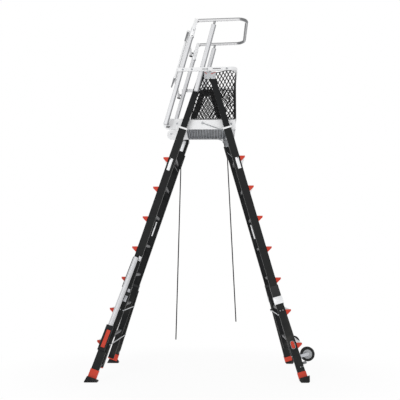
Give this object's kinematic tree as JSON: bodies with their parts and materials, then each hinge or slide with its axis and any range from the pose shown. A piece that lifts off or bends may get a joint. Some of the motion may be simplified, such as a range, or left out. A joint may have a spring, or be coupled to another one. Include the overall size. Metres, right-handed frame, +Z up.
{
  "type": "cage platform ladder",
  "caption": "Telescoping A-frame stepladder with a netted guard-rail cage round its work platform, levelling front feet and tip-and-roll rear wheels.",
  "frame": {"origin": "on the floor, in the middle of the ladder's bounding box", "axes": "+Z up, +X from the climbing side to the wheels, -Y the side nearest the camera"},
  "size_m": [2.0648, 1.2632, 3.497],
  "materials": {
    "fibreglass": "satin, faintly mottled",
    "fly_fibreglass": "satin",
    "aluminium": "satin mill finish",
    "white_trim": "satin",
    "orange": "moulded, slight sheen",
    "black_cast": "satin",
    "steel": "brushed",
    "rubber": "matt",
    "tyre": "matt",
    "hub": "moulded",
    "net": "knotted cord",
    "cord": "braided",
    "grey_sheet": "ribbed, satin"
  },
  "bodies": {
    "front_base": {"front_outer_rails": "fibreglass", "front_legs": "fibreglass", "front_rail_bands": "white_trim", "front_treads": "aluminium", "front_tread_caps": "orange", "front_tie_rods": "steel", "leveler_tubes": "aluminium", "leveler_castings": "black_cast"},
    "front_fly": {"front_fly_rails": "fly_fibreglass", "front_fly_rungs": "aluminium", "front_hinge_castings": "black_cast", "hinge_covers": "white_trim", "deck": "grey_sheet", "toe_boards": "aluminium", "platform_bolts": "steel", "posts": "aluminium", "uprights": "aluminium", "top_rail": "aluminium", "mid_rail": "aluminium", "net_near": "net", "net_far": "net", "net_back": "net", "gate_brackets": "black_cast"},
    "rear_fly": {"rear_fly_rails": "fly_fibreglass", "rear_fly_rungs": "aluminium", "rear_hinge_castings": "black_cast", "stay_pins": "steel"},
    "rear_base": {"rear_outer_rails": "fibreglass", "rear_legs": "fibreglass", "rear_rail_bands": "white_trim", "rear_treads": "aluminium", "rear_tread_caps": "orange", "rear_tie_rods": "steel", "wheel_brackets": "aluminium", "rear_foot_collars": "orange", "rear_feet": "rubber"},
    "gate": {"gate": "aluminium"},
    "gate_latch_lower": {"gate_latch_lower": "black_cast"},
    "gate_latch_upper": {"gate_latch_upper": "black_cast"},
    "front_lock": {"front_lock_lever": "orange", "front_cord": "cord"},
    "rear_lock": {"rear_lock_lever": "orange", "rear_cord": "cord"},
    "leveler_near": {"leveler_leg_near": "fibreglass", "front_foot_near": "rubber", "front_foot_collar_near": "orange"},
    "leveler_handle_near": {"leveler_handle_near": "orange"},
    "leg_button_near": {"leg_button_near": "orange"},
    "wheel_near": {"tyre_near": "tyre", "hub_near": "hub"},
    "stay_hook_near": {"stay_hook_near": "steel"},
    "leveler_far": {"leveler_leg_far": "fibreglass", "front_foot_far": "rubber", "front_foot_collar_far": "orange"},
    "leveler_handle_far": {"leveler_handle_far": "orange"},
    "leg_button_far": {"leg_button_far": "orange"},
    "wheel_far": {"tyre_far": "tyre", "hub_far": "hub"},
    "stay_hook_far": {"stay_hook_far": "steel"}
  },
  "joints": [
    {"name": "height", "type": "slide", "parent": "front_base", "child": "front_fly", "axis": [0.3206, 0, 0.9472], "range_m": [0, 1.219]},
    {"name": "fold", "type": "hinge", "parent": "front_fly", "child": "rear_fly", "pos_m": [0.05692, 0, 2.915], "axis": [0, 1, 0], "range_deg": [0, 34], "deforming": ["front_cord", "rear_cord"]},
    {"name": "rear_height", "type": "slide", "parent": "rear_fly", "child": "rear_base", "axis": [0.2706, 0, -0.9627], "range_m": [0, 1.2]},
    {"name": "leveler_near", "type": "slide", "parent": "front_base", "child": "leveler_near", "axis": [-0.3136, -0.2079, -0.9265], "range_m": [0, 0.2]},
    {"name": "leveler_handle_near", "type": "hinge", "parent": "front_base", "child": "leveler_handle_near", "pos_m": [-0.83651, -0.53069, 0.4439], "axis": [-0.9472, 0, 0.3206], "range_deg": [0, 30]},
    {"name": "leveler_far", "type": "slide", "parent": "front_base", "child": "leveler_far", "axis": [-0.3136, 0.2079, -0.9265], "range_m": [0, 0.2]},
    {"name": "leveler_handle_far", "type": "hinge", "parent": "front_base", "child": "leveler_handle_far", "pos_m": [-0.83651, 0.53069, 0.4439], "axis": [0.9472, 0, -0.3206], "range_deg": [0, 30]},
    {"name": "leg_button_near", "type": "slide", "parent": "rear_base", "child": "leg_button_near", "axis": [0.0836, 0.9511, -0.2975], "range_m": [0, 0.005], "stiffness_N_per_m": 300, "springref_m": -0.004},
    {"name": "leg_button_far", "type": "slide", "parent": "rear_base", "child": "leg_button_far", "axis": [0.0836, -0.9511, -0.2975], "range_m": [0, 0.005], "stiffness_N_per_m": 300, "springref_m": -0.004},
    {"name": "wheel_near", "type": "hinge", "parent": "rear_base", "child": "wheel_near", "pos_m": [0.96743, -0.49428, 0.23749], "axis": [0, 1, 0], "continuous": true},
    {"name": "wheel_far", "type": "hinge", "parent": "rear_base", "child": "wheel_far", "pos_m": [0.96743, 0.49428, 0.23749], "axis": [0, 1, 0], "continuous": true},
    {"name": "gate", "type": "hinge", "parent": "front_fly", "child": "gate", "pos_m": [-0.2595, 0.328, 2.88408], "axis": [-0.2684, 0, -0.9633], "range_deg": [0, 85]},
    {"name": "gate_latch_lower", "type": "hinge", "parent": "gate", "child": "gate_latch_lower", "pos_m": [-0.2595, -0.323, 2.88408], "axis": [0, 1, 0], "range_deg": [0, 60]},
    {"name": "gate_latch_upper", "type": "hinge", "parent": "gate", "child": "gate_latch_upper", "pos_m": [-0.12742, -0.323, 3.35808], "axis": [0, 1, 0], "range_deg": [0, 60]},
    {"name": "stay_hook_near", "type": "hinge", "parent": "front_fly", "child": "stay_hook_near", "pos_m": [0.01392, -0.2445, 2.444], "axis": [0, -1, 0], "range_deg": [0, 24]},
    {"name": "stay_hook_far", "type": "hinge", "parent": "front_fly", "child": "stay_hook_far", "pos_m": [0.01392, 0.2445, 2.444], "axis": [0, -1, 0], "range_deg": [0, 24]},
    {"name": "front_lock", "type": "hinge", "parent": "front_base", "child": "front_lock", "pos_m": [-0.19034, 0.292, 2.20478], "axis": [-0.9472, 0, 0.3206], "range_deg": [0, 16], "stiffness_Nm_per_rad": 4, "springref_deg": -5.73},
    {"name": "rear_lock", "type": "hinge", "parent": "rear_base", "child": "rear_lock", "pos_m": [0.23636, 0.292, 2.30064], "axis": [-0.9627, 0, -0.2706], "range_deg": [0, 16], "stiffness_Nm_per_rad": 4, "springref_deg": -5.73}
  ],
  "couplings": [
    {"joint": "rear_height", "follows": "height", "ratio": 0.98392}
  ]
}
